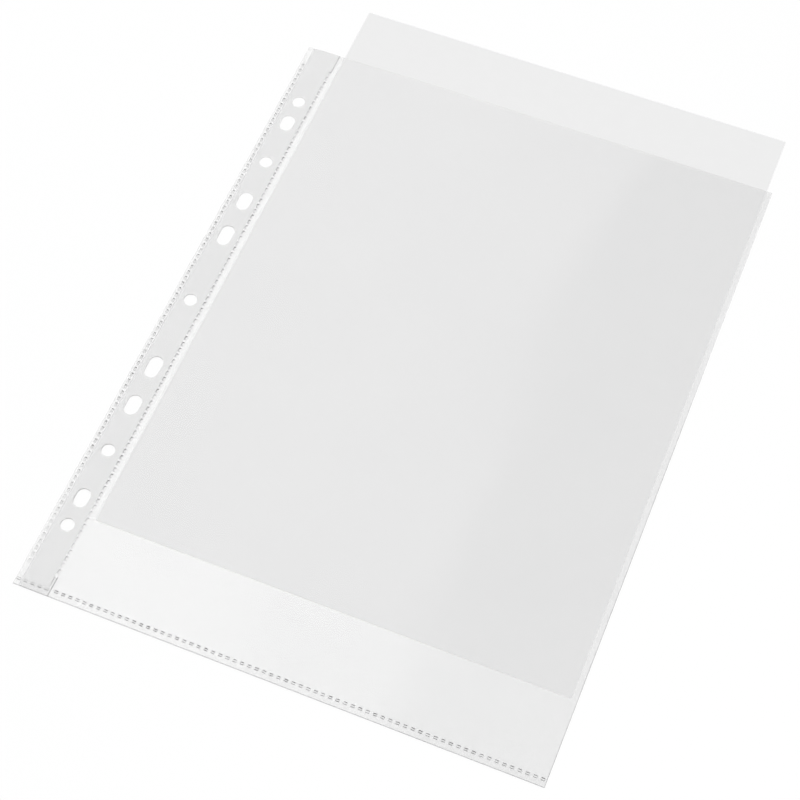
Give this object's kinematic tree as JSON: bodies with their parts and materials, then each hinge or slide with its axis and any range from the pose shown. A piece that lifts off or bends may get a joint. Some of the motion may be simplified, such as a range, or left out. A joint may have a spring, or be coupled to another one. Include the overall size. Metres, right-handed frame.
{
  "type": "sheet protector",
  "caption": "Clear punched A4 pocket with a crimp-welded binding strip, a folded side and an open mouth, holding a sheet of paper that slides out.",
  "frame": {"origin": "centre of the middle ring hole, on the back face that the pocket lies on", "axes": "+X from the ring holes to the folded edge, +Y towards the open mouth, +Z out of the front face"},
  "size_m": [0.2314, 0.3356, 0.0004],
  "materials": {
    "clear_film": "clear polypropylene film with a fine embossed grain",
    "milky_strip": "milky translucent plastic",
    "fused_film": "fused, crimped polypropylene",
    "paper": "plain uncoated office paper"
  },
  "bodies": {
    "binding_margin": {"margin_back_film": "clear_film", "margin_front_film": "clear_film", "reinforcing_strip": "milky_strip", "outer_weld_row": "fused_film", "inner_weld_row": "fused_film", "corner_weld": "fused_film", "flex_line": "clear_film"},
    "pocket_leaf": {"leaf_back_film": "clear_film", "leaf_front_film": "clear_film", "side_fold": "clear_film", "leaf_bottom_welds": "fused_film"},
    "loose_sheet": {"insert_sheet": "paper"}
  },
  "joints": [
    {"name": "leaf_turn", "type": "hinge", "parent": "binding_margin", "child": "pocket_leaf", "pos_m": [0.00775, 0, 0.00022], "axis": [0, -1, 0], "range_deg": [-90, 90], "deforming": ["flex_line"]},
    {"name": "sheet_slide", "type": "slide", "parent": "pocket_leaf", "child": "loose_sheet", "axis": [0, 1, 0], "range_m": [-0.0347, 0.2664]}
  ]
}
